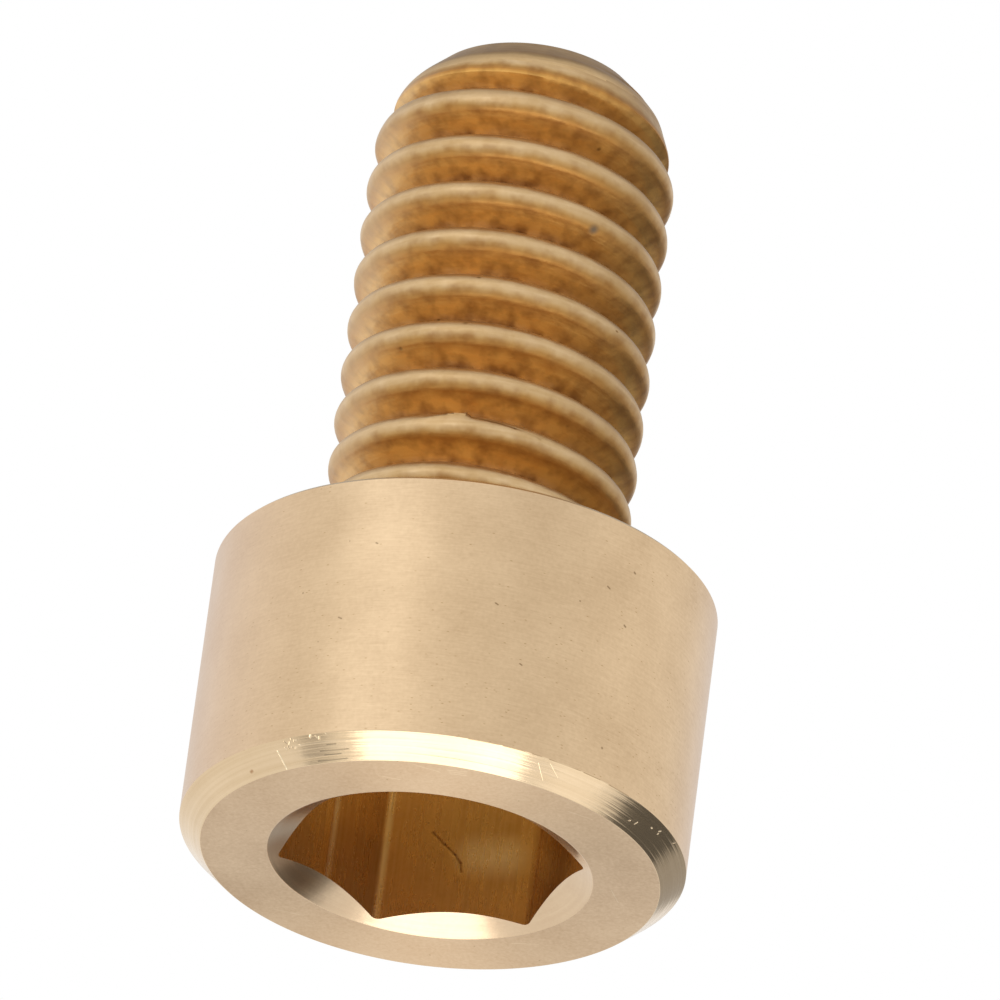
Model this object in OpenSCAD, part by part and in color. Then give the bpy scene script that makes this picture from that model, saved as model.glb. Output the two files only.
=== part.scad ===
// Socket head cap screw of plain brass, turned and threaded in one piece.
// It stands on its head: the drive face lies at z = 0 and the shank points up.

/* [Head] */
// Outside diameter of the head
head_d = 9.5; // [8:0.1:13]
// Height of the head, from the drive face to the bearing face
head_h = 5.7; // [5.2:0.1:9]
// Length of the drive-end chamfer along the axis
rim_h = 0.4; // [0.1:0.05:0.8]
// Width of the drive-end chamfer across the axis
rim_w = 0.44; // [0.1:0.05:0.6]
// Break of the sharp edge at the bearing face
edge_break = 0.06; // [0.02:0.01:0.3]
// Size of the cone that fills the corner between the bearing face and the shank
neck_fill = 0.2; // [0.1:0.05:0.4]

/* [Socket] */
// Width of the hexagon across its flats
key_w = 5.05; // [4:0.05:5.1]
// Depth of the flats below the drive face
key_depth = 3.3; // [2:0.1:3.4]
// Diameter of the countersink at the mouth of the socket
mouth_d = 6.1; // [6:0.05:6.7]
// Included angle of the countersink
mouth_angle = 120; // [90:1:130]
// Included angle of the drill point below the flats
point_angle = 118; // [110:1:140]

/* [Thread] */
// Major diameter of the thread
thread_d = 5.8; // [4.5:0.05:7.5]
// Pitch of the thread
pitch = 1; // [0.75:0.05:1.25]
// Length of the shank, from the bearing face to the tip
shank_l = 10.8; // [5:0.1:20]
// Hand of the thread
thread_hand = "left"; // [left, right]
// Angle about the axis at which a crest meets the bearing face
thread_start = -60; // [-180:1:180]
// Length over which the groove runs out to nothing at the head
runout_l = 0.8; // [0.2:0.1:3]
// Diameter of the flat at the tip
tip_d = 3.9; // [3:0.1:4.2]
// Length of the chamfer at the tip
tip_h = 0.55; // [0.3:0.05:0.8]
// Included angle of the chamfer at the tip
tip_angle = 90; // [60:5:100]
// Included angle of the taper behind the chamfer, which cuts the first crests low
lead_angle = 40; // [30:5:60]

/* [Hidden] */
$fn = 96;

// A cut reaches this far past the face it opens through
cut_over = 0.5;
// The shank is sunk this far into the head that it grows from
root_in_head = 0.3;

// Socket
key_corner_d = key_w / cos(30);
mouth_h = (mouth_d - key_w) / 2 / tan(mouth_angle / 2);
point_h = key_w / 2 / tan(point_angle / 2);

// Thread form, with 60 degree flanks between a round crest and a tight round root
flank_angle = 60;
crest_round = 0.28 * pitch;
root_round = 0.08 * pitch;
sharp_h = pitch / 2 / tan(flank_angle / 2);
thread_h = sharp_h - (crest_round + root_round) * (1 / sin(flank_angle / 2) - 1);
root_r = thread_d / 2 - thread_h;
// Half the angle of each round, which meets the flanks smoothly
arc = 90 - flank_angle / 2;
// One pitch of the form, as places along the axis and depths below the crest
form = [
    for (a = [0 : arc / 2 : arc])
        [crest_round * sin(a), crest_round * (1 - cos(a))],
    for (a = [-arc : arc : arc])
        [pitch / 2 + root_round * sin(a), thread_h - root_round * (1 - cos(a))],
    for (a = [-arc : arc / 2 : -arc / 2])
        [pitch + crest_round * sin(a), crest_round * (1 - cos(a))],
];
steps_per_turn = 40;
rows_per_turn = len(form);
// The helix starts a turn below the shank's foot and ends a turn past the tip
turns = ceil((shank_l + root_in_head) / pitch) + 3;
rows = turns * rows_per_turn;
helix_foot = head_h - pitch * (ceil(root_in_head / pitch) + 1);

// The neck's cone starts outside the crests and ends inside the root of the thread
neck_r = thread_d / 2 + neck_fill;
neck_in_r = root_r - root_round;
neck_top = head_h + neck_r - neck_in_r;

shank_top = head_h + shank_l;
// The trimming blank stands clear of the crests and is cut down to the tip's two cones
blank_r = thread_d / 2 + pitch / 2;
lead_r = tip_d / 2 + tip_h * tan(tip_angle / 2);
lead_h = (blank_r - lead_r) / tan(lead_angle / 2);

// Share of the groove's full depth at a height, from none at the head to all past the run-out
function groove_share(z) = min(1, max(0, (z - head_h) / runout_l));

// Point of the thread's surface at a row along the form and a step around the turn.
// The steps stand half a step off the start, so that none lies in the bearing face.
function thread_point(row, step) =
    let (
        turn = (step + 0.5) / steps_per_turn,
        place = form[row % rows_per_turn],
        z = helix_foot + place[0] + pitch * (floor(row / rows_per_turn) + turn),
        r = thread_d / 2 - place[1] * groove_share(z)
    )
    [r * cos(360 * turn), r * sin(360 * turn), z];

// Number of that point, where a full turn of steps comes back one pitch higher
function thread_index(row, step) =
    step < steps_per_turn
        ? row * steps_per_turn + step
        : (row + rows_per_turn) * steps_per_turn + step - steps_per_turn;

// Endless right-hand thread, closed at each end by a fan around the axis
module thread_helix() {
    points = [
        for (row = [0 : rows], step = [0 : steps_per_turn - 1]) thread_point(row, step),
        [0, 0, helix_foot + pitch / 2],
        [0, 0, helix_foot + pitch * (turns + 0.5)],
    ];
    foot = len(points) - 2;
    top = len(points) - 1;
    last_step = steps_per_turn - 1;
    wall = [
        for (row = [0 : rows - 1], step = [0 : last_step])
            if (step < last_step || row + 1 + rows_per_turn <= rows)
                let (
                    a = thread_index(row, step),
                    b = thread_index(row, step + 1),
                    c = thread_index(row + 1, step + 1),
                    d = thread_index(row + 1, step)
                )
                each [[a, c, b], [a, d, c]],
    ];
    foot_fan = [
        for (step = [0 : last_step])
            [foot, thread_index(0, step), thread_index(0, step + 1)],
        for (row = [0 : rows_per_turn - 1])
            [foot, thread_index(row + 1, 0), thread_index(row, 0)],
    ];
    top_rows = rows - rows_per_turn;
    top_fan = [
        for (step = [0 : last_step - 1])
            [top, thread_index(rows, step + 1), thread_index(rows, step)],
        [top, thread_index(top_rows, last_step + 1), thread_index(top_rows, last_step)],
        for (row = [top_rows : rows - 1])
            [top, thread_index(row, last_step), thread_index(row + 1, last_step)],
    ];
    polyhedron(points, concat(wall, foot_fan, top_fan), convexity = 4);
}

// Thread of the chosen hand
module thread() {
    if (thread_hand == "left")
        mirror([0, 1, 0]) thread_helix();
    else
        thread_helix();
}

// Turned blank that trims the thread to its length and points the tip
module shank_blank() {
    rotate_extrude() polygon([
        [0, head_h - root_in_head],
        [blank_r, head_h - root_in_head],
        [blank_r, shank_top - tip_h - lead_h],
        [lead_r, shank_top - tip_h],
        [tip_d / 2, shank_top],
        [0, shank_top],
    ]);
}

// Head with its drive-end chamfer and its neck, before the socket is cut
module head_blank() {
    rotate_extrude() polygon([
        [0, 0],
        [head_d / 2 - rim_w, 0],
        [head_d / 2, rim_h],
        [head_d / 2, head_h - edge_break],
        [head_d / 2 - edge_break, head_h],
        [neck_r, head_h],
        [neck_in_r, neck_top],
        [0, neck_top],
    ]);
}

// Countersunk hexagon over a drill point, as the cutter leaves it
module socket_cut() {
    translate([0, 0, -cut_over]) cylinder(h = key_depth + cut_over, d = key_corner_d, $fn = 6);
    cylinder(h = mouth_h, d1 = mouth_d, d2 = key_w);
    translate([0, 0, key_depth]) cylinder(h = point_h, d1 = key_w, d2 = 0);
}

// Threaded shank with its chamfered tip, turned to the thread's start
module shank() {
    rotate(thread_start) intersection() {
        thread();
        shank_blank();
    }
}

module cap_screw() {
    color("#c9a366") difference() {
        union() {
            head_blank();
            shank();
        }
        socket_cut();
    }
}

cap_screw();
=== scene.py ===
"""Looks of a brass socket head cap screw that stands on its head in a plain white studio.

The screw is drawn in millimetres, as a turner would make it: a head and a threaded shank are
turned, joined and drilled, the hexagon is broached, and the piece is brought to metres at the end.
"""

import logging
import math
import random
from collections.abc import Callable, Sequence
from dataclasses import dataclass, field
from enum import Enum

import bpy
import numpy as np
from mathutils import Matrix, Vector, noise

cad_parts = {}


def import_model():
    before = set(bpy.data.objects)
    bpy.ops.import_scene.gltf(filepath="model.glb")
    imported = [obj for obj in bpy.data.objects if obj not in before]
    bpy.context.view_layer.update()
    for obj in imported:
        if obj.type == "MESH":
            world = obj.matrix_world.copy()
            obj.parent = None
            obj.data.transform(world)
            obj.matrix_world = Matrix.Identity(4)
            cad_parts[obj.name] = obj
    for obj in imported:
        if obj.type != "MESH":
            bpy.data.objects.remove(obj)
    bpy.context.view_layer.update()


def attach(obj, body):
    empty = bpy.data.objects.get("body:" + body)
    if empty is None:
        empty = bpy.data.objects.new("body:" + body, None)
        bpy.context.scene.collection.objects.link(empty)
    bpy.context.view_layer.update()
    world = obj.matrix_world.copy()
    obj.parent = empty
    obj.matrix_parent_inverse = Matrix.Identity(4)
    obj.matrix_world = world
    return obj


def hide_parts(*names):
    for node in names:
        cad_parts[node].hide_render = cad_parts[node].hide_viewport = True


MM = 0.001
NODE = "cap_screw"
BODY = "root"
# Points of a mesh that lie closer than this, in millimetres, are one point
MERGE = 2e-4
# Numbers of the Mix node's colour sockets
MIX_A, MIX_B, MIX_OUT = 6, 7, 2
# Levels of the noise between which a spot of tarnish grows from nothing to its full cover
SPOT_RANGE = (0.42, 0.75)
# Share of the pits that is left at the far end of the height over which they thin out
PITS_LEFT = 0.2
# Share of a pit's size that is its full depth, inside the slope of its wall
PIT_FLOOR = 1 / 3

Point = tuple[float, float]
Place = tuple[float, float, float]
Piece = bpy.types.Object
Tree = bpy.types.NodeTree
Output = bpy.types.NodeSocket
log = logging.getLogger(NODE)


class Hand(Enum):
    """Sense in which the thread winds as it climbs."""

    LEFT = -1
    RIGHT = 1


class Lay(Enum):
    """Direction in which a tool leaves its streaks."""

    AROUND = "around the axis"
    ALONG = "along the axis"
    PLAIN = "no direction"


class Zone(Enum):
    """Surfaces of the screw, each with the finish that its own tool left."""

    SIDE = 0
    RIM = 1
    END_FACE = 2
    MOUTH = 3
    WALLS = 4
    BEARING = 5
    THREAD = 6
    TIP = 7


def linear(hex_colour: str) -> tuple[float, float, float, float]:
    """Turns an sRGB hex colour into linear light.

    Args:
        hex_colour: Colour such as "#d5ba91".

    Returns:
        Linear red, green, blue and an alpha of 1.
    """
    shares = [int(hex_colour[i : i + 2], 16) / 255 for i in (1, 3, 5)]
    light = [s / 12.92 if s <= 0.04045 else ((s + 0.055) / 1.055) ** 2.4 for s in shares]
    return (*light, 1.0)


def add(
    tree: Tree, kind: str, inputs: dict[str | int, object] | None = None, **settings: object
) -> bpy.types.Node:
    """Adds a node with its settings and links.

    Args:
        tree: Tree that takes the node.
        kind: Type of the node, without its common prefix.
        inputs: Value or linked output for each input, by the input's name or number.
        settings: Properties of the node.

    Returns:
        The new node.
    """
    node = tree.nodes.new("ShaderNode" + kind)
    for name, value in settings.items():
        setattr(node, name, value)
    for name, value in (inputs or {}).items():
        if isinstance(value, Output):
            tree.links.new(value, node.inputs[name])
        else:
            node.inputs[name].default_value = value
    return node


def around(angle_deg: float, radius: float, height: float) -> Place:
    """Place at an angle about the axis, a radius and a height."""
    angle = math.radians(angle_deg)
    return (radius * math.cos(angle), radius * math.sin(angle), height)


def fillet(before: Point, corner: Point, after: Point, radius: float, steps: int) -> list[Point]:
    """Rounds one corner of an outline.

    Args:
        before: Point of the outline before the corner.
        corner: The sharp corner.
        after: Point of the outline after the corner.
        radius: Radius of the round.
        steps: Number of straight steps along the arc.

    Returns:
        Points of the arc, from the side of before to the side of after.
    """
    tip = Vector(corner)
    back = (Vector(before) - tip).normalized()
    on = (Vector(after) - tip).normalized()
    half = back.angle(on) / 2
    centre = tip + (back + on).normalized() * (radius / math.sin(half))
    start = tip + back * (radius / math.tan(half)) - centre
    end = tip + on * (radius / math.tan(half)) - centre
    sweep = start.angle(end)
    arc = []
    for step in range(steps + 1):
        share = step / steps
        spoke = start * math.sin((1 - share) * sweep) + end * math.sin(share * sweep)
        arc.append(tuple(centre + spoke / math.sin(sweep)))
    return arc


def between(start: Point, end: Point, steps: int) -> list[Point]:
    """Points inside a straight stretch of an outline, its two ends left out.

    Args:
        start: Where the stretch begins.
        end: Where it ends.
        steps: Number of equal steps.

    Returns:
        The points that part the steps.
    """
    shares = [i / steps for i in range(1, steps)]
    return [(start[0] + (end[0] - start[0]) * s, start[1] + (end[1] - start[1]) * s) for s in shares]


def draw_outline(name: str, outline: Sequence[Point], turn: float = 0.0) -> Piece:
    """Draws an open outline in a plane through the Z axis.

    A plane is shrunk to one vertex, which is extruded from point to point.

    Args:
        name: Name of the new object.
        outline: Radius and height of each point.
        turn: Angle of the plane about the Z axis, in radians.

    Returns:
        The new object, in object mode and the only one selected.
    """
    places = [Vector((r * math.cos(turn), r * math.sin(turn), z)) for r, z in outline]
    bpy.ops.object.select_all(action="DESELECT")
    bpy.ops.mesh.primitive_plane_add(size=1.0)
    piece = bpy.context.object
    piece.name = name
    bpy.ops.object.mode_set(mode="EDIT")
    bpy.ops.mesh.select_mode(type="VERT")
    bpy.ops.mesh.merge(type="CENTER")
    bpy.ops.transform.translate(value=places[0])
    for here, there in zip(places, places[1:]):
        bpy.ops.mesh.extrude_vertices_move(TRANSFORM_OT_translate={"value": there - here})
    bpy.ops.object.mode_set(mode="OBJECT")
    return piece


def spin_outline(piece: Piece, steps: int) -> None:
    """Turns an open outline about the Z axis and closes the holes at its two ends.

    Args:
        piece: Object that holds the outline.
        steps: Number of steps around the axis.
    """
    bpy.ops.object.mode_set(mode="EDIT")
    bpy.ops.mesh.select_all(action="SELECT")
    bpy.ops.mesh.spin(steps=steps, angle=math.tau, center=(0, 0, 0), axis=(0, 0, 1))
    bpy.ops.mesh.select_all(action="SELECT")
    bpy.ops.mesh.remove_doubles(threshold=MERGE)
    bpy.ops.mesh.select_all(action="DESELECT")
    bpy.ops.mesh.select_mode(type="EDGE")
    bpy.ops.mesh.select_non_manifold()
    bpy.ops.mesh.fill_holes(sides=0)
    close_up()
    bpy.ops.object.mode_set(mode="OBJECT")


def close_up() -> None:
    """Merges doubles and turns the faces outwards, in edit mode."""
    bpy.ops.mesh.select_all(action="SELECT")
    bpy.ops.mesh.remove_doubles(threshold=MERGE)
    bpy.ops.mesh.normals_make_consistent(inside=False)


def combine(piece: Piece, tool: Piece, operation: str) -> None:
    """Joins a tool to a piece or cuts it away, and deletes the tool.

    Args:
        piece: Object that is kept.
        tool: Object that is added or taken away.
        operation: UNION or DIFFERENCE.
    """
    bpy.ops.object.select_all(action="DESELECT")
    piece.select_set(True)
    bpy.context.view_layer.objects.active = piece
    bpy.ops.object.modifier_add(type="BOOLEAN")
    boolean = piece.modifiers[-1]
    boolean.object = tool
    boolean.operation = operation
    boolean.solver = "EXACT"
    bpy.ops.object.modifier_apply(modifier=boolean.name)
    bpy.data.objects.remove(tool, do_unlink=True)


def move_points(piece: Piece, move: Callable[[np.ndarray], np.ndarray]) -> None:
    """Moves all the points of a mesh at once.

    Args:
        piece: Object whose mesh is moved.
        move: Function from the old places, one row per point, to the new ones.
    """
    points = np.empty(len(piece.data.vertices) * 3)
    piece.data.vertices.foreach_get("co", points)
    piece.data.vertices.foreach_set("co", move(points.reshape(-1, 3)).ravel())
    piece.data.update()


@dataclass(frozen=True)
class Mark:
    """Scratch, strip or speck, cut along a line into the brass."""

    start: Place
    end: Place
    width: float
    depth: float = 0.0
    colour: str = "#6b4f2c"
    cover: float = 0.0


@dataclass(frozen=True)
class Pits:
    """Small dark pits, one in some of the cells that share out the surface.

    The cells have a length and a width, and the size is a share of the cell. Up to the height
    the pits thin out to a fifth, where one is given.
    """

    cell: Point
    size: float
    share: float
    depth: float
    colour: str
    height: float = 0.0


@dataclass
class Head:
    """Turned head, from the drive face at z = 0 to the bearing face."""

    diameter: float = 9.5
    height: float = 5.7
    rim_h: float = 0.4
    rim_w: float = 0.44
    edge_break: float = 0.06
    neck_r: float = 3.1
    neck_in_r: float = 2.28
    rim_round: float = 0.02
    steps: int = 768
    rim_rows: int = 14
    arc_rows: int = 3

    @property
    def radius(self) -> float:
        """Outside radius of the head."""
        return self.diameter / 2

    def on_rim(self, angle_deg: float, share: float) -> Place:
        """Place on the drive-end chamfer, at a share of its width from the drive face."""
        return around(angle_deg, self.radius - self.rim_w * (1 - share), self.rim_h * share)

    def on_side(self, angle_deg: float, height: float) -> Place:
        """Place on the side of the head."""
        return around(angle_deg, self.radius, height)

    def outline(self) -> list[Point]:
        """Draws the head from the drive face round its side to the bearing face.

        Returns:
            Radius and height of each point.
        """
        face = (self.radius - 2 * self.rim_w, 0.0)
        inner = (self.radius - self.rim_w, 0.0)
        outer = (self.radius, self.rim_h)
        shoulder = (self.radius, self.height - self.edge_break)
        brow = (self.radius - self.edge_break, self.height)
        inner_arc = fillet(face, inner, outer, self.rim_round, self.arc_rows)
        outer_arc = fillet(inner, outer, shoulder, self.rim_round, self.arc_rows)
        rim = between(inner_arc[-1], outer_arc[0], self.rim_rows)
        neck = (self.neck_r, self.height)
        neck_end = (self.neck_in_r, self.height + self.neck_r - self.neck_in_r)
        return [*inner_arc, *rim, *outer_arc, shoulder, brow, neck, neck_end]

    def build(self) -> Piece:
        """Turns the head.

        Returns:
            The head as a closed solid.
        """
        piece = draw_outline("head", self.outline())
        spin_outline(piece, self.steps)
        return piece


@dataclass
class Shank:
    """Threaded shank, from inside the head to its chamfered tip."""

    foot: float
    length: float = 10.8
    diameter: float = 5.8
    pitch: float = 1.0
    hand: Hand = Hand.LEFT
    start_deg: float = -60.0
    runout: float = 0.8
    tip_d: float = 3.9
    tip_h: float = 0.55
    tip_deg: float = 90.0
    lead_deg: float = 40.0
    sunk: float = 0.3
    flank_deg: float = 60.0
    crest_round: float = 0.28
    crest_rows: int = 6
    flank_rows: int = 4
    steps: int = 160
    wave: float = 0.012
    wave_size: float = 0.9
    core: float = 0.1
    tip_round: float = 0.12
    dull_h: float = 0.72
    burr_turn: int = 2
    burr_deg: Point = (-116.0, -86.0)
    burr_h: float = 0.3
    burr_drop: float = 0.08
    burr_fall: float = 3.0

    @property
    def top(self) -> float:
        """Height of the tip."""
        return self.foot + self.length

    @property
    def depth(self) -> float:
        """Depth of the groove, from the round of the crest to the sharp root."""
        half = math.radians(self.flank_deg / 2)
        return self.pitch / 2 / math.tan(half) - self.crest_round * (1 / math.sin(half) - 1)

    def form(self) -> list[Point]:
        """Draws one pitch of the thread, from the middle of a crest to the middle of the next.

        Returns:
            Radius and place along the axis of each point.
        """
        crest_r = self.diameter / 2
        span = math.pi / 2 - math.radians(self.flank_deg / 2)
        crest: list[Point] = []
        for row in range(self.crest_rows + 1):
            angle = span * row / self.crest_rows
            drop, along = self.crest_round * (1 - math.cos(angle)), self.crest_round * math.sin(angle)
            crest.append((crest_r - drop, along))
        root = (crest_r - self.depth, self.pitch / 2)
        half = [*crest, *between(crest[-1], root, self.flank_rows)]
        return [*half, root, *[(r, self.pitch - z) for r, z in reversed(half)]]

    def crest_height(self, angle_deg: float | np.ndarray, turn: int) -> float | np.ndarray:
        """Height of a crest at an angle, on a turn counted from the head."""
        return self.foot + self.pitch * (turn + self.hand.value * (angle_deg - self.start_deg) / 360)

    def burr(self, points: np.ndarray) -> np.ndarray:
        """Radius up to which a burr fills the side of a crest.

        The burr is a wedge of rolled-over metal that grows along the crest and ends abruptly.

        Args:
            points: Places of the thread's points.

        Returns:
            The burr's radius at each point, 0 away from it.
        """
        angle = np.degrees(np.arctan2(points[:, 1], points[:, 0]))
        start, end = self.burr_deg
        share = (angle - start) / (end - start)
        above = points[:, 2] - self.crest_height(angle, self.burr_turn)
        inside = (share > 0) & (share < 1) & (above > 0) & (above < self.pitch / 2)
        past = np.maximum(above - self.burr_h * share, 0)
        return np.where(inside, self.diameter / 2 - self.burr_drop * above - self.burr_fall * past, 0.0)

    def trim(self, points: np.ndarray) -> np.ndarray:
        """Makes the crests a little wavy, lets the groove run out at the head and points the tip.

        Args:
            points: Places of the thread's points.

        Returns:
            The new places.
        """
        height = points[:, 2]
        radius = np.hypot(points[:, 0], points[:, 1])
        share = np.clip((height - self.foot) / self.runout, 0, 1)
        waves = np.array([noise.noise(Vector(point) / self.wave_size) for point in points])
        wanted = self.diameter / 2 - (self.diameter / 2 - radius) * share + self.wave * waves * share
        wanted = np.maximum(wanted, self.burr(points))
        below = self.top - height
        chamfer = self.tip_d / 2 + below * math.tan(math.radians(self.tip_deg / 2))
        lead_r = self.tip_d / 2 + self.tip_h * math.tan(math.radians(self.tip_deg / 2))
        lead = lead_r + (below - self.tip_h) * math.tan(math.radians(self.lead_deg / 2))
        for cone in (lead, chamfer):
            overlap = np.maximum(self.tip_round - np.abs(wanted - cone), 0)
            wanted = np.minimum(wanted, cone) - overlap**2 / (4 * self.tip_round)
        points[:, :2] *= (np.maximum(wanted, self.core) / radius)[:, None]
        return points

    def build(self) -> Piece:
        """Winds the thread and cuts it to length.

        Returns:
            The shank as a closed solid.
        """
        below = math.ceil(self.sunk / self.pitch) + 1
        low = self.foot - below * self.pitch
        form = [(r, low + z) for r, z in self.form()]
        piece = draw_outline("shank", form, math.radians(self.start_deg))
        bpy.ops.object.modifier_add(type="SCREW")
        screw = piece.modifiers[-1]
        screw.axis = "Z"
        screw.angle = math.tau * self.hand.value
        screw.screw_offset = self.pitch
        screw.iterations = math.ceil(self.length / self.pitch) + below + 1
        screw.steps = screw.render_steps = self.steps
        bpy.ops.object.modifier_apply(modifier=screw.name)
        bpy.ops.object.mode_set(mode="EDIT")
        close_up()
        bpy.ops.object.mode_set(mode="OBJECT")
        move_points(piece, self.trim)
        bpy.ops.object.mode_set(mode="EDIT")
        for height, up in ((self.foot - self.sunk, -1), (self.top, 1)):
            bpy.ops.mesh.select_all(action="SELECT")
            bpy.ops.mesh.bisect(
                plane_co=(0, 0, height), plane_no=(0, 0, up), use_fill=True, clear_outer=True
            )
        close_up()
        bpy.ops.object.mode_set(mode="OBJECT")
        return piece


@dataclass(frozen=True)
class PatinaAndShade:
    """Darker and amber bands: patina that stays where nothing rubs it off, and on the thread also painted
    shade and painted amber reflection of its grooves.

    Each band has its place, its colour and the share of the brass that it covers. With a thread
    the place counts from one crest towards the tip, as a share of the pitch, and without one it
    is the depth below the outer radius. Darker spots lie over the bands.
    """

    outer: float
    bands: tuple[tuple[float, str, float], ...]
    ragged: float
    spots: str
    spot_size: float
    spot_cover: float
    thread: Shank | None = None

    def where(self, tree: Tree, place: Output) -> Output:
        """Finds the place across the bands.

        Args:
            tree: Tree of the material.
            place: Place on the screw, in millimetres.

        Returns:
            The place across the bands, in their own measure.
        """
        if not self.thread:
            across = add(tree, "VectorMath", {0: place, 1: (1, 1, 0)}, operation="MULTIPLY").outputs[0]
            radius = add(tree, "VectorMath", {0: across}, operation="LENGTH").outputs["Value"]
            return add(tree, "Math", {0: self.outer, 1: radius}, operation="SUBTRACT").outputs[0]
        shank, hand = self.thread, self.thread.hand.value
        x, y, z = add(tree, "SeparateXYZ", {0: place}).outputs
        angle = add(tree, "Math", {0: y, 1: x}, operation="ARCTAN2").outputs[0]
        begin = hand * shank.start_deg / 360 - shank.foot / shank.pitch
        back = {0: angle, 1: -hand / math.tau, 2: begin}
        turns = add(tree, "Math", back, operation="MULTIPLY_ADD").outputs[0]
        return add(tree, "Math", {0: z, 1: 1 / shank.pitch, 2: turns}, operation="MULTIPLY_ADD").outputs[0]


@dataclass
class Socket:
    """Drilled and countersunk hexagon socket in the drive face."""

    key_w: float = 5.05
    key_depth: float = 3.3
    mouth_d: float = 6.1
    mouth_deg: float = 120.0
    point_deg: float = 118.0
    drill_under: float = 0.03
    corner_round: float = 0.1
    corner_rows: int = 3
    mouth_round: float = 0.05
    mouth_rows: int = 3
    lip_w: float = 0.3
    lip_deg: float = 8.0
    lip_rise: float = 0.02
    over: float = 0.5
    steps: int = 360

    def drill(self) -> Piece:
        """Turns the tool that leaves the countersink, the drilled hole and its point.

        Returns:
            The tool, with a lip past the mouth that rounds the mouth's edge.
        """
        half = math.radians(self.mouth_deg / 2)
        mouth, bore = self.mouth_d / 2, self.key_w / 2 - self.drill_under
        depth = (mouth - bore) / math.tan(half)
        point = bore / math.tan(math.radians(self.point_deg / 2))
        lip = (mouth + self.lip_w, self.lip_rise - self.lip_w * math.tan(math.radians(self.lip_deg)))
        outline = [
            (0.0, -self.over),
            (lip[0], -self.over),
            lip,
            *fillet(lip, (mouth, 0.0), (bore, depth), self.mouth_round, self.mouth_rows),
            (bore, depth),
            (bore, self.key_depth),
            (0.0, self.key_depth + point),
        ]
        piece = draw_outline("drill", outline)
        spin_outline(piece, self.steps)
        return piece

    def broach(self) -> Piece:
        """Makes the hexagon tool, with its six long edges rounded.

        Returns:
            The tool.
        """
        height = self.key_depth + self.over
        bpy.ops.object.select_all(action="DESELECT")
        bpy.ops.mesh.primitive_cylinder_add(
            vertices=6,
            radius=self.key_w / 2 / math.cos(math.pi / 6),
            depth=height,
            location=(0, 0, self.key_depth - height / 2),
            rotation=(0, 0, math.pi / 6),
        )
        piece = bpy.context.object
        bpy.ops.object.transform_apply(location=True, rotation=True)
        bpy.ops.object.mode_set(mode="EDIT")
        bpy.ops.mesh.select_all(action="DESELECT")
        bpy.ops.object.mode_set(mode="OBJECT")
        corners = piece.data.vertices
        for edge in piece.data.edges:
            one, other = (corners[i].co for i in edge.vertices)
            edge.select = abs(one.z - other.z) > height / 2
        bpy.ops.object.mode_set(mode="EDIT")
        bpy.ops.mesh.select_mode(type="EDGE")
        bpy.ops.mesh.bevel(offset=self.corner_round, segments=self.corner_rows)
        bpy.ops.object.mode_set(mode="OBJECT")
        return piece


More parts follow.
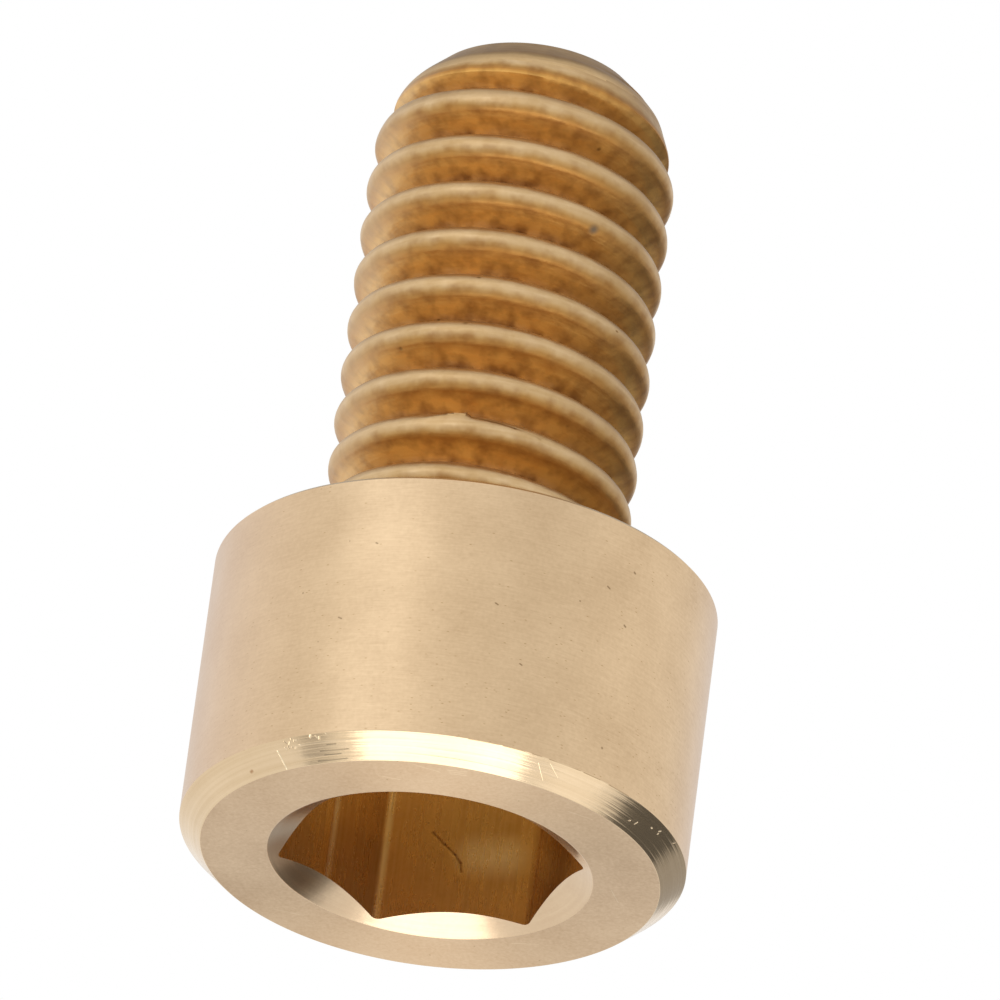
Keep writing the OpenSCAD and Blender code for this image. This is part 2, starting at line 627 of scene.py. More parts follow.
@dataclass(frozen=True)
class BrassFinish:
    """Plain brass as one tool or process leaves it.

    Streaks along the tool's lay, cloudy patches and a fine grain share out its two colours and
    its gloss, and give it a low relief. Pits, patina with painted shade, and marks, some of them
    painted light and shade, lie over them, and fine turned rings spread its highlights along the
    radius. Lengths are in millimetres, and the three values of tones and relief are for streaks,
    patches and grain.
    """

    name: str
    pale: str
    dark: str
    dull: float
    bright: float
    lay: Lay
    reach: float
    streak: Point
    patch: float
    grain: float
    tones: Place
    relief: Place
    pits: Pits | None = None
    patina_and_shade: PatinaAndShade | None = None
    marks: tuple[Mark, ...] = ()
    rings: float = 0.0

    def stretched(self, tree: Tree, place: Output, length: float, width: float) -> dict[str, object]:
        """Stretches the place along the lay, so that a pattern read there becomes streaks.

        Args:
            tree: Tree of the material.
            place: Place on the screw, in millimetres.
            length: Length of a cell of the pattern along the lay.
            width: Width of a cell.

        Returns:
            Inputs for a pattern whose cells have that length and width.
        """
        if self.lay is not Lay.AROUND:
            scale = (1 / width, 1 / width, 1 / (length if self.lay is Lay.ALONG else width))
            vector = add(tree, "VectorMath", {0: place, 1: scale}, operation="MULTIPLY").outputs[0]
            return {"Vector": vector, "W": 0.0}
        across = add(tree, "VectorMath", {0: place, 1: (1, 1, 0)}, operation="MULTIPLY").outputs[0]
        unit = add(tree, "VectorMath", {0: across}, operation="NORMALIZE").outputs[0]
        upright = add(tree, "VectorMath", {0: place, 1: (0, 0, 1 / width)}, operation="MULTIPLY").outputs[0]
        turns = (self.reach / length, self.reach / length, 0)
        wound = {0: unit, 1: turns, 2: upright}
        vector = add(tree, "VectorMath", wound, operation="MULTIPLY_ADD").outputs[0]
        radius = add(tree, "VectorMath", {0: across}, operation="LENGTH").outputs["Value"]
        step = add(tree, "Math", {0: radius, 1: 1 / width}, operation="MULTIPLY").outputs[0]
        return {"Vector": vector, "W": step}

    def patterns(self, tree: Tree, place: Output) -> list[Output]:
        """Draws the streaks, the patches and the grain.

        Args:
            tree: Tree of the material.
            place: Place on the screw, in millimetres.

        Returns:
            The three patterns, each about 0.5 on the whole.
        """
        lines = self.stretched(tree, place, *self.streak) | {"Scale": 1.0, "Detail": 2.0}
        cloud = {"Vector": place, "Scale": 1 / self.patch, "Detail": 3.0}
        specks = {"Vector": place, "Scale": 1 / self.grain, "Detail": 1.0}
        return [
            add(tree, "TexNoise", lines, noise_dimensions="4D").outputs[0],
            add(tree, "TexNoise", cloud).outputs[0],
            add(tree, "TexNoise", specks).outputs[0],
        ]

    def material(self) -> bpy.types.Material:
        """Makes the finish as a material.

        Returns:
            The material.
        """
        material = bpy.data.materials.new(self.name)
        material.use_nodes = True
        tree = material.node_tree
        shader = tree.nodes["Principled BSDF"]
        shader.inputs["Metallic"].default_value = 1.0
        metres = add(tree, "TexCoord").outputs["Object"]
        place = add(tree, "VectorMath", {0: metres, "Scale": 1 / MM}, operation="SCALE").outputs[0]
        patterns = self.patterns(tree, place)
        tone, height = 0.5, 0.0
        for pattern, share, relief in zip(patterns, self.tones, self.relief):
            level = add(tree, "Math", {0: pattern, 1: 0.5}, operation="SUBTRACT").outputs[0]
            tone = add(tree, "Math", {0: level, 1: share, 2: tone}, operation="MULTIPLY_ADD").outputs[0]
            rise = {0: level, 1: relief, 2: height}
            height = add(tree, "Math", rise, operation="MULTIPLY_ADD").outputs[0]
        colours = {0: tone, MIX_A: linear(self.dark), MIX_B: linear(self.pale)}
        colour = add(tree, "Mix", colours, data_type="RGBA").outputs[MIX_OUT]
        if self.patina_and_shade:
            colour = self.patina_and_shade_over(tree, place, patterns[1], colour)
        if self.pits:
            colour, height = self.pits_over(tree, place, colour, height)
        for mark in self.marks:
            colour, height = self.mark_over(tree, place, mark, colour, height)
        gloss = {"Value": tone, "To Min": self.dull, "To Max": self.bright}
        tree.links.new(add(tree, "MapRange", gloss).outputs[0], shader.inputs["Roughness"])
        if self.rings:
            shader.inputs["Anisotropic"].default_value = self.rings
            across = add(tree, "VectorMath", {0: place, 1: (1, 1, 0)}, operation="MULTIPLY").outputs[0]
            spoke = add(tree, "VectorMath", {0: across}, operation="NORMALIZE").outputs[0]
            tree.links.new(spoke, shader.inputs["Tangent"])
        tree.links.new(colour, shader.inputs["Base Color"])
        bump = add(tree, "Bump", {"Height": height, "Distance": MM})
        tree.links.new(bump.outputs[0], shader.inputs["Normal"])
        return material

    def patina_and_shade_over(self, tree: Tree, place: Output, patch: Output, colour: Output) -> Output:
        """Lays the patina and painted shade over the colour, with a ragged border.

        Args:
            tree: Tree of the material.
            place: Place on the screw, in millimetres.
            patch: Pattern that makes the border ragged.
            colour: Colour so far.

        Returns:
            The new colour.
        """
        band_layer = self.patina_and_shade
        level = add(tree, "Math", {0: patch, 1: 0.5}, operation="SUBTRACT").outputs[0]
        edge = {0: level, 1: band_layer.ragged, 2: band_layer.where(tree, place)}
        spread = add(tree, "Math", edge, operation="MULTIPLY_ADD").outputs[0]
        if band_layer.thread:
            spread = add(tree, "Math", {0: spread}, operation="FRACT").outputs[0]
        band_tints = add(tree, "ValToRGB", {0: spread})
        stops = band_tints.color_ramp.elements
        while len(stops) < len(band_layer.bands):
            stops.new(1.0)
        for stop, (spot, tint, cover) in zip(stops, band_layer.bands):
            stop.position = spot
            stop.color = (*linear(tint)[:3], cover)
        blots = {"Vector": place, "Scale": 1 / band_layer.spot_size, "Detail": 2.0}
        cloud = add(tree, "TexNoise", blots).outputs[0]
        begin, full = SPOT_RANGE
        share = {"Value": cloud, "From Min": begin, "From Max": full, "To Max": band_layer.spot_cover}
        spots = add(tree, "MapRange", share).outputs[0]
        mottled = {0: spots, MIX_A: band_tints.outputs["Color"], MIX_B: linear(band_layer.spots)}
        tints = add(tree, "Mix", mottled, data_type="RGBA").outputs[MIX_OUT]
        layers = {0: band_tints.outputs["Alpha"], MIX_A: colour, MIX_B: tints}
        return add(tree, "Mix", layers, data_type="RGBA").outputs[MIX_OUT]

    def pits_over(
        self, tree: Tree, place: Output, colour: Output, height: Output
    ) -> tuple[Output, Output]:
        """Sinks the pits into the surface.

        Args:
            tree: Tree of the material.
            place: Place on the screw, in millimetres.
            colour: Colour so far.
            height: Height so far.

        Returns:
            The new colour and height.
        """
        pits = self.pits
        grid = self.stretched(tree, place, *pits.cell)["Vector"]
        cells = add(tree, "TexVoronoi", {"Vector": grid, "Scale": 1.0})
        chance = add(tree, "SeparateColor", {0: cells.outputs["Color"]}).outputs[0]
        share = pits.share
        if pits.height:
            z = add(tree, "SeparateXYZ", {0: place}).outputs[2]
            left = pits.share * PITS_LEFT
            thin = {"Value": z, "From Max": pits.height, "To Min": pits.share, "To Max": left}
            share = add(tree, "MapRange", thin).outputs[0]
        chosen = add(tree, "Math", {0: chance, 1: share}, operation="LESS_THAN").outputs[0]
        away = cells.outputs["Distance"]
        hole = {"Value": away, "From Min": pits.size * PIT_FLOOR, "From Max": pits.size}
        inside = add(tree, "MapRange", hole | {"To Min": 1.0, "To Max": 0.0}).outputs[0]
        share = add(tree, "Math", {0: inside, 1: chosen}, operation="MULTIPLY").outputs[0]
        layers = {0: share, MIX_A: colour, MIX_B: linear(pits.colour)}
        sunk = add(tree, "Math", {0: share, 1: -pits.depth, 2: height}, operation="MULTIPLY_ADD").outputs[0]
        return add(tree, "Mix", layers, data_type="RGBA").outputs[MIX_OUT], sunk

    def mark_over(
        self, tree: Tree, place: Output, mark: Mark, colour: Output, height: Output
    ) -> tuple[Output, Output]:
        """Cuts one mark into the surface.

        Args:
            tree: Tree of the material.
            place: Place on the screw, in millimetres.
            mark: The mark.
            colour: Colour so far.
            height: Height so far.

        Returns:
            The new colour and height.
        """
        line = Vector(mark.end) - Vector(mark.start)
        away = add(tree, "VectorMath", {0: place, 1: mark.start}, operation="SUBTRACT").outputs[0]
        if line.length > 0:
            rate = tuple(line / line.length_squared)
            rise = add(tree, "VectorMath", {0: away, 1: rate}, operation="DOT_PRODUCT").outputs["Value"]
            share = add(tree, "Clamp", {0: rise}).outputs[0]
            along = add(tree, "VectorMath", {0: tuple(line), "Scale": share}, operation="SCALE").outputs[0]
            away = add(tree, "VectorMath", {0: away, 1: along}, operation="SUBTRACT").outputs[0]
        distance = add(tree, "VectorMath", {0: away}, operation="LENGTH").outputs["Value"]
        groove = {"Value": distance, "From Max": mark.width, "To Min": 1.0, "To Max": 0.0}
        inside = add(tree, "MapRange", groove, interpolation_type="SMOOTHSTEP").outputs[0]
        cover = add(tree, "Math", {0: inside, 1: mark.cover}, operation="MULTIPLY").outputs[0]
        layers = {0: cover, MIX_A: colour, MIX_B: linear(mark.colour)}
        drop = {0: inside, 1: -mark.depth, 2: height}
        sunk = add(tree, "Math", drop, operation="MULTIPLY_ADD").outputs[0]
        return add(tree, "Mix", layers, data_type="RGBA").outputs[MIX_OUT], sunk


@dataclass
class WearAndPaintedLight:
    """Scratches, dings and specks that this screw has picked up, and strips and patches of painted light
    and shade.
    """

    head: Head
    socket: Socket
    dirt: str = "#6b4f2c"
    bare: str = "#f3e3c0"
    # Angle of the painted shade on the thread and its tip
    painted_shade_deg: float = -22.0

    def side(self) -> tuple[Mark, ...]:
        """Dark specks on the side of the head, and wide faint strips of painted reflection and painted
        highlight.

        Returns:
            The marks.
        """
        # Angle, height, length and width of each speck
        specks = (
            (-116.9, 3.43, 0.0, 0.03),
            (-106.1, 2.79, 0.06, 0.025),
            (-106.3, 4.38, 0.0, 0.02),
            (-99.6, 4.3, 0.03, 0.025),
            (-110.9, 2.33, 0.0, 0.02),
            (-38.0, 4.78, 0.02, 0.035),
            (-44.7, 4.25, 0.05, 0.028),
            (-51.6, 3.74, 0.0, 0.03),
            (-38.9, 3.64, 0.03, 0.035),
            (-70.8, 3.24, 0.05, 0.025),
            (-63.6, 2.12, 0.04, 0.025),
            (-40.9, 1.03, 0.0, 0.04),
        )
        marks = []
        for angle, height, length, width in specks:
            turn = math.degrees(length / self.head.radius)
            start = self.head.on_side(angle - turn / 2, height)
            end = self.head.on_side(angle + turn / 2, height - length / 2)
            marks.append(Mark(start, end, width, 0.004, self.dirt, 0.75))
        # Painted reflection makes the brass a little greyer on the two sides where the head turns away, and
        # a painted highlight makes it paler between them
        painted_light_strips = (
            (-164.0, 4.6, "#dfc5b2", 0.6),
            (-99.0, 1.8, "#ecd4b2", 0.2),
            (12.0, 2.6, "#e0c6b4", 0.5),
        )
        for angle, width, colour, cover in painted_light_strips:
            foot, top = self.head.on_side(angle, 0.0), self.head.on_side(angle, self.head.height)
            marks.append(Mark(foot, top, width, 0.0, colour, cover))
        return tuple(marks)

    def rim(self) -> tuple[Mark, ...]:
        """Dings, scratches, dark lines of painted shade and a dark brown line along the edge of the
        drive-end chamfer.

        Returns:
            The marks.
        """
        rim = self.head.on_rim
        marks = [
            Mark(rim(-119.5, 0.66), rim(-119.0, 0.02), 0.02, 0.006, self.bare, 0.8),
            Mark(rim(-129.9, 0.28), rim(-129.4, 0.3), 0.05, 0.004, "#9a6a3c", 0.7),
            Mark(rim(-56.1, 0.75), rim(-53.2, 0.25), 0.012, 0.003, self.dirt, 0.2),
            Mark(rim(-53.4, 0.85), rim(-50.1, 0.5), 0.012, 0.002, self.dirt, 0.2),
        ]
        # Small dings where the head was knocked, and bright specks in the dark stretch
        marks += self.nicks(14, (-117.0, -105.5), (0.62, 1.0), 5)
        marks += self.nicks(6, (-27.0, -8.0), (0.35, 0.9), 11)
        # Painted shade: dark lines around the axis where the bright stretch ends, which break its highlight
        # into streaks
        lines = (
            (-109.5, -101.8, 0.1),
            (-107.4, -103.1, 0.27),
            (-108.3, -101.0, 0.41),
            (-106.2, -103.9, 0.6),
        )
        for start, end, share in lines:
            marks.append(Mark(rim(start, share), rim(end, share), 0.02, 0.0, "#6a5f49", 0.6))
        # Dark brown line along the outer edge, as chords of uneven length
        burr = (
            (-73.0, -66.2),
            (-65.1, -60.0),
            (-58.2, -55.9),
            (-54.0, -45.8),
            (-44.9, -40.2),
            (-37.5, -31.0),
        )
        for start, end in burr:
            marks.append(Mark(rim(start, 0.985), rim(end, 0.995), 0.015, 0.0, "#7c5a33", 0.7))
        return tuple(marks)

    def nicks(self, count: int, angles: Point, shares: Point, seed: int) -> list[Mark]:
        """Small nicks strewn over a stretch of the drive-end chamfer.

        Args:
            count: Number of nicks.
            angles: Angles about the axis between which they lie, in degrees.
            shares: Shares of the chamfer's width between which they lie.
            seed: Seed of their places.

        Returns:
            The marks.
        """
        dice = random.Random(seed)
        marks = []
        for _ in range(count):
            angle, share = dice.uniform(*angles), dice.uniform(*shares)
            turn, rise = dice.uniform(-0.5, 0.5), dice.uniform(-0.08, 0.08)
            start, end = self.head.on_rim(angle, share), self.head.on_rim(angle + turn, share + rise)
            colour = dice.choice((self.bare, self.dirt))
            width, cover = dice.uniform(0.014, 0.03), dice.uniform(0.2, 0.45)
            marks.append(Mark(start, end, width, 0.008, colour, cover))
        return marks

    def thread(self, shank: Shank) -> tuple[Mark, ...]:
        """The chipped edge beside the burr, two wide strips of painted shade and painted highlight, and
        specks in the grooves.

        Args:
            shank: The threaded shank.

        Returns:
            The marks.
        """
        radius = shank.diameter / 2
        chips = [(-86.0, 0.24, 0.1), (-78.0, 0.2, 0.07), (-68.0, 0.13, 0.05), (-58.0, 0.05, 0.03)]
        spots = [
            around(angle, radius - deep, shank.crest_height(angle, shank.burr_turn) + above)
            for angle, above, deep in chips
        ]
        marks = [Mark(a, b, 0.05, 0.01, "#6f4a20", 0.75) for a, b in zip(spots, spots[1:])]
        # Painted shade darkens one side of the thread, and a painted highlight makes the other side paler
        painted_light_strips = ((self.painted_shade_deg, 2.2, "#7a5a34", 0.42), (-155.0, 2.0, "#dcc09a", 0.5))
        for angle, width, colour, cover in painted_light_strips:
            foot, top = around(angle, radius, shank.foot), around(angle, radius, shank.top)
            marks.append(Mark(foot, top, width, 0.0, colour, cover))
        for angle, height, width, colour in (
            (-46.5, 12.48, 0.15, "#5c5850"),
            (-91.9, 9.94, 0.09, "#5d431f"),
            (-96.0, 10.35, 0.06, "#6b4a20"),
            (-70.0, 9.1, 0.05, "#6b4a20"),
        ):
            spot = around(angle, radius - 0.1, height)
            marks.append(Mark(spot, spot, width, 0.01, colour, 0.85))
        return tuple(marks)

    def tip(self, shank: Shank) -> tuple[Mark, ...]:
        """The end of the thread's painted shade, at the edge of the tip."""
        foot = around(self.painted_shade_deg, shank.tip_d / 2 + shank.tip_h, shank.top - shank.dull_h)
        return (Mark(foot, around(self.painted_shade_deg, shank.tip_d / 2, shank.top), 1.5, 0.0, "#7a5428", 0.45),)

    def end_face(self) -> tuple[Mark, ...]:
        """Fine scratches on the drive face.

        Returns:
            The marks.
        """
        # Angle and radius of the two ends of each scratch
        lines = (
            (-76.7, 4.13, -71.5, 4.19),
            (-75.8, 3.99, -71.5, 4.03),
            (-76.0, 4.06, -72.4, 4.1),
            (-85.6, 4.22, -78.5, 4.0),
            (-96.0, 3.7, -90.0, 3.55),
            (-40.0, 3.9, -33.0, 4.05),
            (12.0, 3.4, 20.0, 3.6),
            (63.0, 3.5, 71.0, 3.3),
            (140.0, 3.6, 148.0, 3.9),
        )
        return tuple(
            Mark(around(a, r, 0.0), around(b, q, 0.0), 0.014, 0.003, self.bare, 0.3)
            for a, r, b, q in lines
        )

    def mouth(self) -> tuple[Mark, ...]:
        """Brown painted shade on one side of the countersink."""
        start, end = (around(angle, self.socket.mouth_d / 2 - 0.25, 0.13) for angle in (-172.0, 158.0))
        return (Mark(start, end, 0.7, 0.0, "#a06c38", 0.6),)

    def walls(self) -> tuple[Mark, ...]:
        """Bright strips of painted highlight, two of them along a low relief that the broach left, a flat
        darkened by painted shade, a pale patch of painted highlight, a scratch and a speck.

        Returns:
            The marks.
        """
        flat, depth = self.socket.key_w / 2, self.socket.key_depth
        corner = flat / math.cos(math.pi / 6) - 0.03
        # Painted shade darkens one flat, and a pale painted highlight lies on another
        dull = (around(30, flat, 0.3), around(30, flat, depth), 1.7, 0.0, "#8f6630", 0.9)
        painted_highlight_patch = ((0.3, flat, 1.5), (0.9, flat, 1.5), 0.6, 0.0, "#fff6e0", 0.9)
        marks = [Mark(*dull), Mark(*painted_highlight_patch)]
        # Painted highlight strips along two flats, with a low relief
        for angle in (150, 270):
            painted_highlight_strip = around(angle, flat, 0.3), around(angle, flat, depth)
            marks.append(Mark(*painted_highlight_strip, 0.13, 0.006, "#fff8e8", 1.0))
        # Painted highlight strips at two corners
        for angle in (120, -120):
            painted_highlight_strip = around(angle, corner, 0.1), around(angle, corner, depth)
            marks.append(Mark(*painted_highlight_strip, 0.13, 0.0, "#fff1d0", 1.0))
        # The scratch bends across one flat
        bend = [(-0.572, 1.95), (-0.313, 1.7), (-0.097, 1.5), (0.03, 1.33), (0.06, 1.15)]
        spots = [(x, flat, z) for x, z in bend]
        marks += [Mark(a, b, 0.045, 0.003, "#6a4520", 0.55) for a, b in zip(spots, spots[1:])]
        speck = (1.969, 1.64, 0.5)
        marks.append(Mark(speck, speck, 0.05, 0.01, self.bare, 0.6))
        return tuple(marks)


@dataclass
class Finishes:
    """The finish of each zone of the screw."""

    head: Head
    shank: Shank
    socket: Socket

    def table(self) -> dict[Zone, BrassFinish]:
        """Lists the finishes.

        The pits, streaks and grain are drawn coarser than real ones, so that they show.

        Returns:
            The finish of each zone.
        """
        wear_and_painted_light = WearAndPaintedLight(self.head, self.socket)
        return {
            # Turned and tumbled brass: a soft satin with fine short lines around and tiny pits
            Zone.SIDE: BrassFinish(
                name="brass_turned_satin", pale="#dec19b", dark="#cbae89", dull=0.4, bright=0.28,
                lay=Lay.AROUND, reach=self.head.radius, streak=(0.26, 0.026), patch=1.2, grain=0.07,
                tones=(1.0, 1.3, 0.7), relief=(0.0012, 0.005, 0.0008),
                pits=Pits((0.19, 0.07), 0.17, 0.7, 0.001, "#b39268", self.head.height),
                marks=wear_and_painted_light.side(),
            ),
            # Chamfer cut last with a sharp tool: mirror bright, with lines that break its highlights
            Zone.RIM: BrassFinish(
                name="brass_bright_cut", pale="#e7ceab", dark="#d4b993", dull=0.22, bright=0.1,
                lay=Lay.AROUND, reach=self.head.radius, streak=(5.0, 0.05), patch=1.5, grain=0.1,
                tones=(1.2, 0.8, 0.2), relief=(0.007, 0.01, 0.0003),
                marks=wear_and_painted_light.rim(),
            ),
            # Faced end, tumbled matt: a soft grain, stray scratches and highlights spread by fine rings
            Zone.END_FACE: BrassFinish(
                name="brass_faced_matt", pale="#d6bc9b", dark="#c2a685", dull=0.5, bright=0.4,
                lay=Lay.PLAIN, reach=1.0, streak=(0.12, 0.12), patch=1.6, grain=0.06,
                tones=(0.8, 1.2, 0.8), relief=(0.002, 0.003, 0.001),
                pits=Pits((0.3, 0.3), 0.08, 0.3, 0.002, "#a08660"),
                marks=wear_and_painted_light.end_face(), rings=0.75,
            ),
            # Countersunk mouth: smooth and bright, with faint rings and a brown painted shade on one side
            Zone.MOUTH: BrassFinish(
                name="brass_countersunk", pale="#dcc3a2", dark="#ccb090", dull=0.26, bright=0.16,
                lay=Lay.AROUND, reach=self.socket.mouth_d / 2, streak=(3.0, 0.06), patch=1.0, grain=0.08,
                tones=(0.8, 0.8, 0.3), relief=(0.002, 0.006, 0.0004),
                marks=wear_and_painted_light.mouth(),
            ),
            # Broached flats: streaks along the axis, which the socket's own glow turns to amber, with
            # painted highlights and painted shade on some flats
            Zone.WALLS: BrassFinish(
                name="brass_broached", pale="#ecd2a0", dark="#cfad73", dull=0.34, bright=0.22,
                lay=Lay.ALONG, reach=1.0, streak=(3.0, 0.09), patch=0.8, grain=0.08,
                tones=(1.4, 1.2, 0.3), relief=(0.003, 0.006, 0.0005),
                marks=wear_and_painted_light.walls(),
            ),
            # Faced underside of the head: bright rings left by the parting tool
            Zone.BEARING: BrassFinish(
                name="brass_faced_bright", pale="#dcc198", dark="#c8ac82", dull=0.34, bright=0.24,
                lay=Lay.AROUND, reach=self.head.radius, streak=(4.0, 0.04), patch=1.2, grain=0.08,
                tones=(1.2, 0.6, 0.3), relief=(0.002, 0.002, 0.0004),
            ),
            # Rolled thread: worn pale on the crests, with darker blotchy patina, painted shade and painted
            # amber reflection in the grooves
            Zone.THREAD: BrassFinish(
                name="brass_thread", pale="#dcbe93", dark="#c4a271", dull=0.46, bright=0.36,
                lay=Lay.AROUND, reach=self.shank.diameter / 2, streak=(0.8, 0.07), patch=0.45, grain=0.08,
                tones=(1.2, 1.6, 0.3), relief=(0.004, 0.02, 0.0008),
                pits=Pits((0.5, 0.25), 0.12, 0.12, 0.003, "#8a6636"),
                patina_and_shade=PatinaAndShade(
                    outer=self.shank.diameter / 2,
                    # Bands from a crest towards the tip, partly patina and partly painted shade and painted
                    # amber reflection: darker beside the crest, bright amber mid-groove, dark amber before
                    # the next crest
                    bands=(
                        (0.0, "#d0b082", 0.0),
                        (0.12, "#bf9e72", 0.5),
                        (0.24, "#b59262", 0.8),
                        (0.43, "#d2b086", 0.9),
                        (0.5, "#e0bd8c", 0.9),
                        (0.57, "#e8bb70", 0.9),
                        (0.66, "#edb864", 0.9),
                        (0.76, "#bc843e", 0.9),
                        (0.83, "#b08348", 0.95),
                        (0.88, "#bd9660", 0.9),
                        (0.94, "#c9a878", 0.6),
                        (1.0, "#d0b082", 0.0),
                    ),
                    ragged=0.12, spots="#84501c", spot_size=0.3, spot_cover=0.6, thread=self.shank,
                ),
                marks=wear_and_painted_light.thread(self.shank),
            ),
            # Sawn and turned tip: dull rings
            Zone.TIP: BrassFinish(
                name="brass_tip", pale="#dcbc8c", dark="#c4a06e", dull=0.44, bright=0.34,
                lay=Lay.AROUND, reach=self.shank.tip_d / 2, streak=(3.0, 0.05), patch=0.6, grain=0.08,
                tones=(1.2, 1.2, 0.4), relief=(0.003, 0.004, 0.0006),
                patina_and_shade=PatinaAndShade(
                    outer=self.shank.tip_d / 2 + self.shank.tip_h,
                    bands=(
                        (0.0, "#c9a874", 0.0),
                        (0.06, "#a58250", 0.7),
                        (0.12, "#967244", 0.9),
                        (0.5, "#a98757", 0.8),
                    ),
                    ragged=0.12, spots="#7d5a30", spot_size=0.35, spot_cover=0.6,
                ),
                marks=wear_and_painted_light.tip(self.shank),
            ),
        }


@dataclass
class CapScrew:
    """The whole screw, one piece of brass.

    The slacks widen the borders of its zones. A face is level or sloped from a share of its
    normal that points along the axis, and the mouth's faces lie within a height of the drive face.
    """

    head: Head = field(default_factory=Head)
    socket: Socket = field(default_factory=Socket)
    smooth_deg: float = 32.0
    slack: float = 1e-3
    rim_slack: float = 0.01
    level_from: float = 0.99
    slope_from: float = 0.3
    mouth_h: float = 0.5

    def __post_init__(self) -> None:
        """Sets the shank on the head."""
        self.shank = Shank(foot=self.head.height)

    def build(self) -> Piece:
        """Turns, threads, drills and broaches the screw, and dresses it.

        Returns:
            The finished piece, in metres at the origin.
        """
        piece = self.head.build()
        combine(piece, self.shank.build(), "UNION")
        combine(piece, self.socket.drill(), "DIFFERENCE")
        combine(piece, self.socket.broach(), "DIFFERENCE")
        piece.name = piece.data.name = "brass_cap_screw"
        self.finish_mesh(piece)
        self.dress(piece)
        piece.scale = (MM, MM, MM)
        bpy.ops.object.transform_apply(scale=True)
        return piece

    def finish_mesh(self, piece: Piece) -> None:
        """Cleans the mesh and shades it smooth, with its large faces kept true.

        Args:
            piece: The screw, in millimetres.
        """
        bpy.ops.object.mode_set(mode="EDIT")
        close_up()
        bpy.ops.object.mode_set(mode="OBJECT")
        bpy.ops.object.shade_smooth_by_angle(angle=math.radians(self.smooth_deg))
        bpy.ops.object.modifier_add(type="WEIGHTED_NORMAL")
        normals = piece.modifiers[-1]
        normals.keep_sharp = True
        bpy.ops.object.modifier_apply(modifier=normals.name)

    def zone(self, middle: Vector, normal: Vector) -> Zone:
        """Names the surface that a face belongs to.

        Args:
            middle: Middle of the face.
            normal: Direction that it faces.

        Returns:
            Its zone.
        """
        reach = math.hypot(middle.x, middle.y)
        flat = abs(normal.z)
        if middle.z > self.head.height + self.slack:
            return Zone.TIP if middle.z > self.shank.top - self.shank.dull_h else Zone.THREAD
        if middle.z > self.head.height - self.head.edge_break:
            return Zone.BEARING
        if reach > self.head.radius - self.head.rim_w - self.rim_slack and middle.z > self.slack / 10:
            return Zone.RIM if middle.z < self.head.rim_h else Zone.SIDE
        if flat > self.level_from and middle.z < self.slack:
            return Zone.END_FACE
        if middle.z < self.mouth_h and flat > self.slope_from:
            return Zone.MOUTH
        return Zone.WALLS

    def dress(self, piece: Piece) -> None:
        """Gives each zone of the screw its own finish.

        Args:
            piece: The screw, in millimetres.
        """
        finishes = Finishes(self.head, self.shank, self.socket).table()
        piece.data.materials.clear()
        for zone in Zone:
            piece.data.materials.append(finishes[zone].material())
        for face in piece.data.polygons:
            face.material_index = self.zone(face.center, face.normal).value


@dataclass(frozen=True)
class Lamp:
    """Soft lamp, a plain panel that looks at the middle of the screw.

    Its direction and that of its upper edge count from the camera: right, away and up.
    """

    name: str
    towards: Place
    edge: Place
    distance: float
    size: Point
    glow: float

    def build(self, aim: Vector, turn: Matrix) -> None:
        """Hangs the lamp.

        Args:
            aim: Point that it looks at, in metres.
            turn: Turn from the camera's right, away and up to the world.
        """
        data = bpy.data.lights.new(self.name, "AREA")
        data.shape = "RECTANGLE"
        data.size, data.size_y = (side * MM for side in self.size)
        data.energy = self.glow * math.pi * data.size * data.size_y
        lamp = bpy.data.objects.new(self.name, data)
        bpy.context.collection.objects.link(lamp)
        away = (turn @ Vector(self.towards)).normalized()
        across = (turn @ Vector(self.edge)).cross(away).normalized()
        axes = Matrix((across, away.cross(across), away)).transposed().to_4x4()
        lamp.matrix_world = Matrix.Translation(aim + away * self.distance * MM) @ axes
        lamp.visible_camera = False


@dataclass(frozen=True)
class Shade:
    """Dark part of the studio, which only the brass mirrors.

    Its direction counts from the camera: right, away and up.
    """

    towards: Place
    core_deg: float
    edge_deg: float
    level: float


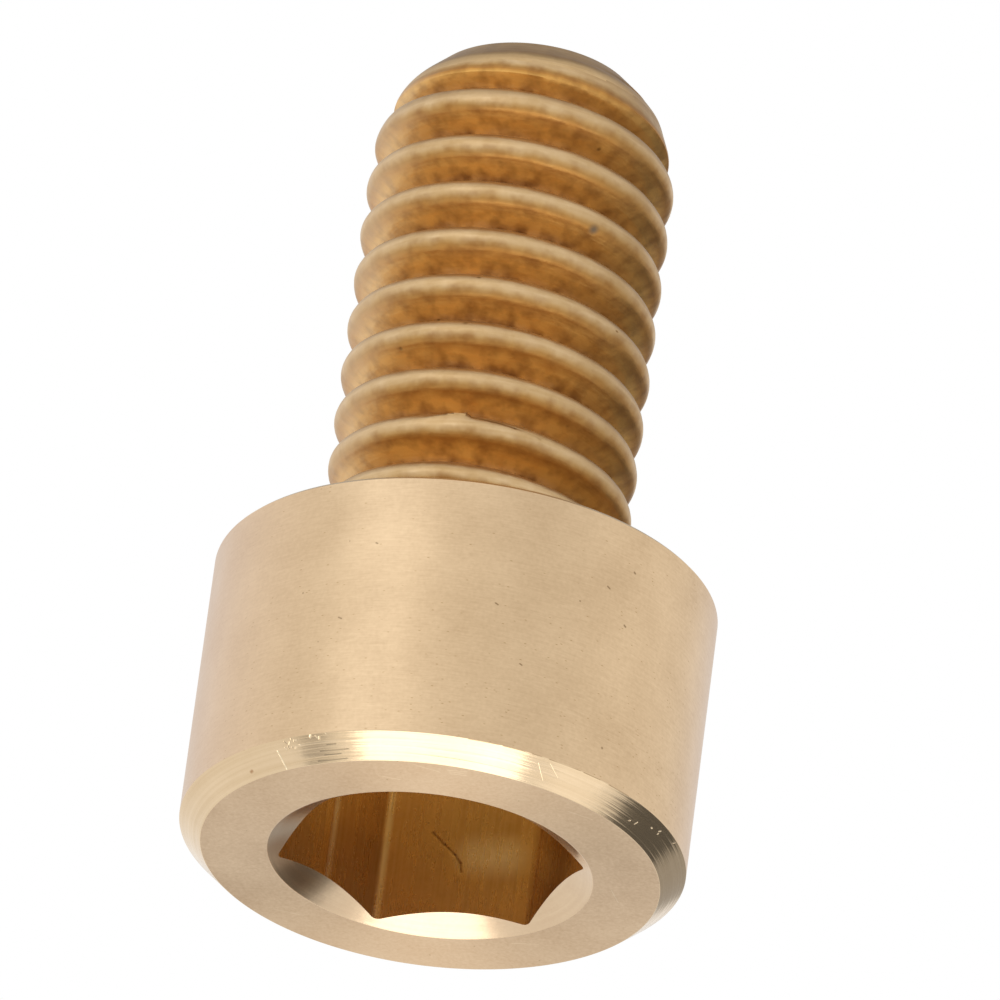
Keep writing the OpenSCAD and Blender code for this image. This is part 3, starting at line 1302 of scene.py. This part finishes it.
@dataclass(frozen=True)
class Studio:
    """Camera, lamps, floor and white surroundings."""

    azimuth_deg: float = 12.12
    elevation_deg: float = -27.07
    roll_deg: float = 7.61
    distance: float = 303.53
    focus_height: float = 7.714
    focus_right: float = 0.394
    frame_px: float = 1000.0
    focal_px: float = 16140.5
    sensor: float = 36.0
    bounces: int = 12
    fill: float = 0.85
    lamps: tuple[Lamp, ...] = (
        Lamp("key", (-0.536, -0.711, 0.454), (0, 0, 1), 160, (105, 105), 0.3),
        Lamp("under_front", (-0.025, -0.31, -1.0), (0, 1, 0), 126, (109, 50), 1.5),
        Lamp("under_back", (-0.03, 0.09, -1.0), (0, 1, 0), 121, (70, 48), 1.7),
        Lamp("under_side", (0.74, -0.1, -1.0), (0, 1, 0), 120, (34, 40), 0.25),
    )
    shades: tuple[Shade, ...] = (
        Shade((0.66, 0.5, -0.56), 14, 22, 0.12),
        Shade((0.5, 0.86, -0.13), 13, 25, 0.42),
        Shade((-0.6, -0.075, -0.8), 3, 7, 0.45),
        Shade((0.0, 0.45, 0.89), 10, 50, 0.55),
        Shade((0.51, -0.73, 0.45), 8, 32, 0.92),
    )

    def camera(self) -> None:
        """Places the camera as the photograph was taken, from below and with a small roll."""
        a, e, roll = (math.radians(v) for v in (self.azimuth_deg, self.elevation_deg, self.roll_deg))
        back = Vector((math.sin(a) * math.cos(e), -math.cos(a) * math.cos(e), math.sin(e)))
        level = Vector((math.cos(a), math.sin(a), 0))
        lift = back.cross(level)
        right = level * math.cos(roll) + lift * math.sin(roll)
        up = lift * math.cos(roll) - level * math.sin(roll)
        aim = (Vector((0, 0, self.focus_height)) + right * self.focus_right) * MM
        data = bpy.data.cameras.new("camera")
        data.sensor_width = self.sensor
        data.lens = self.focal_px / self.frame_px * self.sensor
        data.clip_start = 0.01
        camera = bpy.data.objects.new("camera", data)
        bpy.context.collection.objects.link(camera)
        place = aim + back * self.distance * MM
        turn = Matrix((right, up, back)).transposed().to_4x4()
        camera.matrix_world = Matrix.Translation(place) @ turn
        bpy.context.scene.camera = camera

    def floor(self) -> None:
        """Lays the pale floor, which the camera sees only from above."""
        bpy.ops.object.select_all(action="DESELECT")
        bpy.ops.mesh.primitive_plane_add(size=2.0, location=(0, 0, -0.02 * MM))
        floor = bpy.context.object
        floor.name = "floor"
        bpy.ops.object.transform_apply(location=True)
        material = bpy.data.materials.new("floor_pale")
        material.use_nodes = True
        tree = material.node_tree
        tree.nodes.clear()
        paint = add(tree, "BsdfDiffuse", {"Color": linear("#f2f1ee")}).outputs[0]
        clear = add(tree, "BsdfTransparent").outputs[0]
        below = add(tree, "NewGeometry").outputs["Backfacing"]
        sides = add(tree, "MixShader", {0: below, 1: paint, 2: clear}).outputs[0]
        add(tree, "OutputMaterial", {"Surface": sides})
        floor.data.materials.append(material)
        floor.visible_diffuse = floor.visible_glossy = False
        floor.visible_transmission = floor.visible_shadow = False

    def surroundings(self) -> None:
        """Sets the white surroundings, whose darker parts only the brass mirrors."""
        world = bpy.data.worlds.new("white_studio")
        bpy.context.scene.world = world
        world.use_nodes = True
        world.cycles.sampling_method = "NONE"
        tree = world.node_tree
        facing = math.radians(self.azimuth_deg)
        turn = Matrix.Rotation(facing, 3, "Z")
        view = add(tree, "TexCoord").outputs["Generated"]
        mirrored = 1.0
        for shade in self.shades:
            axis = tuple((turn @ Vector(shade.towards)).normalized())
            near = add(tree, "VectorMath", {0: view, 1: axis}, operation="DOT_PRODUCT").outputs["Value"]
            edge, core = (math.cos(math.radians(v)) for v in (shade.edge_deg, shade.core_deg))
            fade = {"Value": near, "From Min": edge, "From Max": core, "To Min": 1.0, "To Max": shade.level}
            level = add(tree, "MapRange", fade, interpolation_type="SMOOTHSTEP").outputs[0]
            mirrored = add(tree, "Math", {0: level, 1: mirrored}, operation="MULTIPLY").outputs[0]
        path = add(tree, "LightPath").outputs
        straight = {0: path["Is Camera Ray"], 1: path["Is Transmission Ray"]}
        seen = add(tree, "Math", straight, operation="MAXIMUM").outputs[0]
        plain = add(tree, "MapRange", {"Value": seen, "To Min": self.fill, "To Max": 1.0}).outputs[0]
        strength = add(tree, "Mix", {0: path["Is Glossy Ray"], 2: plain, 3: mirrored}).outputs[0]
        background = tree.nodes["Background"]
        background.inputs["Color"].default_value = (1, 1, 1, 1)
        tree.links.new(strength, background.inputs["Strength"])

    def build(self) -> None:
        """Sets up the whole studio."""
        scene = bpy.context.scene
        scene.view_settings.view_transform = "Standard"
        scene.cycles.glossy_bounces = scene.cycles.max_bounces = self.bounces
        self.camera()
        self.floor()
        self.surroundings()
        aim = Vector((0, 0, self.focus_height)) * MM
        turn = Matrix.Rotation(math.radians(self.azimuth_deg), 3, "Z")
        for lamp in self.lamps:
            lamp.build(aim, turn)


def main() -> None:
    """Builds the screw and its studio."""
    logging.basicConfig(level=logging.INFO, format="%(name)s: %(message)s")
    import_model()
    piece = CapScrew().build()
    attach(piece, BODY)
    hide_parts(NODE)
    piece.data.calc_loop_triangles()
    log.info("%s: %d triangles", piece.name, len(piece.data.loop_triangles))
    Studio().build()


if __name__ == "__main__":
    main()
